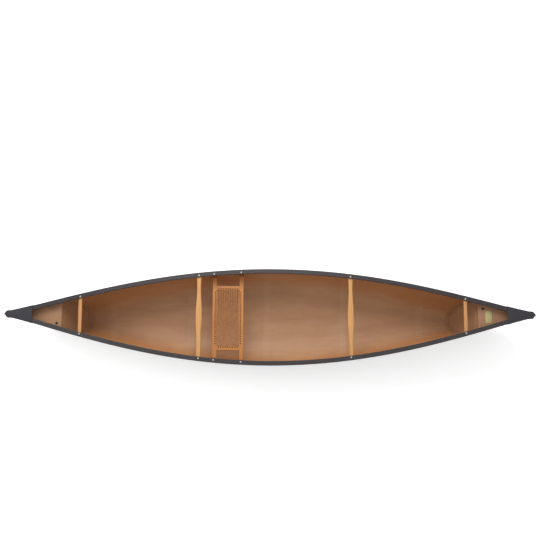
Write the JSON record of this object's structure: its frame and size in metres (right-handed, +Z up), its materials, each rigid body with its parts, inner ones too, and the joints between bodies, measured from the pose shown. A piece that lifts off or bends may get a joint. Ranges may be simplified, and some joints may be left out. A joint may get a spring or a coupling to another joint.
{
  "type": "solo canoe",
  "caption": "Open solo canoe with rockered hull, capped gunwales, decks, sealed float tanks, wooden thwarts, hung caned seat and grab loops.",
  "frame": {"origin": "on the keel line amidships, at the lowest point of the hull bottom, midway between the ends and the sides", "axes": "+X towards the bow, +Y to port, +Z up"},
  "size_m": [4.9068, 0.9108, 0.6102],
  "materials": {
    "hull_laminate": "satin charcoal-brown outside, tan inside",
    "gunwale_vinyl": "satin dark grey vinyl with fine lengthwise ridges",
    "rivet_alloy": "plain domed heads",
    "deck_plastic": "grained moulded plastic, dark blue-grey",
    "tank_plastic": "tan moulded plastic",
    "plug_rubber": "black",
    "ash_wood": "oiled ash",
    "seat_wood": "oiled ash, warm",
    "seat_cane": "woven cane strands",
    "block_wood": "dark oiled hardwood",
    "bolt_steel": "stainless",
    "tube_plastic": "dark plastic tube",
    "loop_cord": "braided cord, tan",
    "skid_laminate": "satin, slightly rougher than the hull",
    "plate_plastic": "pale yellow-green film, blank"
  },
  "bodies": {
    "canoe": {"hull": "hull_laminate", "port_gunwale": "gunwale_vinyl", "starboard_gunwale": "gunwale_vinyl", "port_gunwale_rivets": "rivet_alloy", "starboard_gunwale_rivets": "rivet_alloy", "bow_deck": "deck_plastic", "stern_deck": "deck_plastic", "bow_deck_rivets": "rivet_alloy", "stern_deck_rivets": "rivet_alloy", "bow_tank": "tank_plastic", "stern_tank": "tank_plastic", "bow_thwart": "ash_wood", "stern_thwart": "ash_wood", "bow_handle": "ash_wood", "stern_handle": "ash_wood", "thwart_bolts": "bolt_steel", "thwart_washers": "bolt_steel", "thwart_nuts": "bolt_steel", "handle_bolts": "bolt_steel", "handle_washers": "bolt_steel", "handle_nuts": "bolt_steel", "seat_front_rail": "seat_wood", "seat_rear_rail": "seat_wood", "seat_port_rail": "seat_wood", "seat_starboard_rail": "seat_wood", "seat_dowels": "seat_wood", "seat_cane": "seat_cane", "seat_front_port_block": "block_wood", "seat_front_starboard_block": "block_wood", "seat_rear_port_block": "block_wood", "seat_rear_starboard_block": "block_wood", "seat_bolts": "bolt_steel", "seat_washers": "bolt_steel", "seat_nuts": "bolt_steel", "bow_loop_tube": "tube_plastic", "stern_loop_tube": "tube_plastic", "bow_skid_plate": "skid_laminate", "stern_skid_plate": "skid_laminate", "blank_plate": "plate_plastic"},
    "bow_plug": {"bow_vent_plug": "plug_rubber"},
    "stern_plug": {"stern_vent_plug": "plug_rubber"},
    "bow_grab_loop": {"bow_loop": "loop_cord"},
    "stern_grab_loop": {"stern_loop": "loop_cord"}
  },
  "joints": [
    {"name": "bow_plug_pull", "type": "slide", "parent": "canoe", "child": "bow_plug", "axis": [-0.1045, 0, 0.9945], "range_m": [0, 0.04]},
    {"name": "stern_plug_pull", "type": "slide", "parent": "canoe", "child": "stern_plug", "axis": [0.1045, 0, 0.9945], "range_m": [0, 0.04]},
    {"name": "bow_loop_swing", "type": "hinge", "parent": "canoe", "child": "bow_grab_loop", "pos_m": [2.374, 0, 0.53934], "axis": [0, 1, 0], "range_deg": [-45, 15]},
    {"name": "stern_loop_swing", "type": "hinge", "parent": "canoe", "child": "stern_grab_loop", "pos_m": [-2.374, 0, 0.53934], "axis": [0, -1, 0], "range_deg": [-45, 15]}
  ]
}
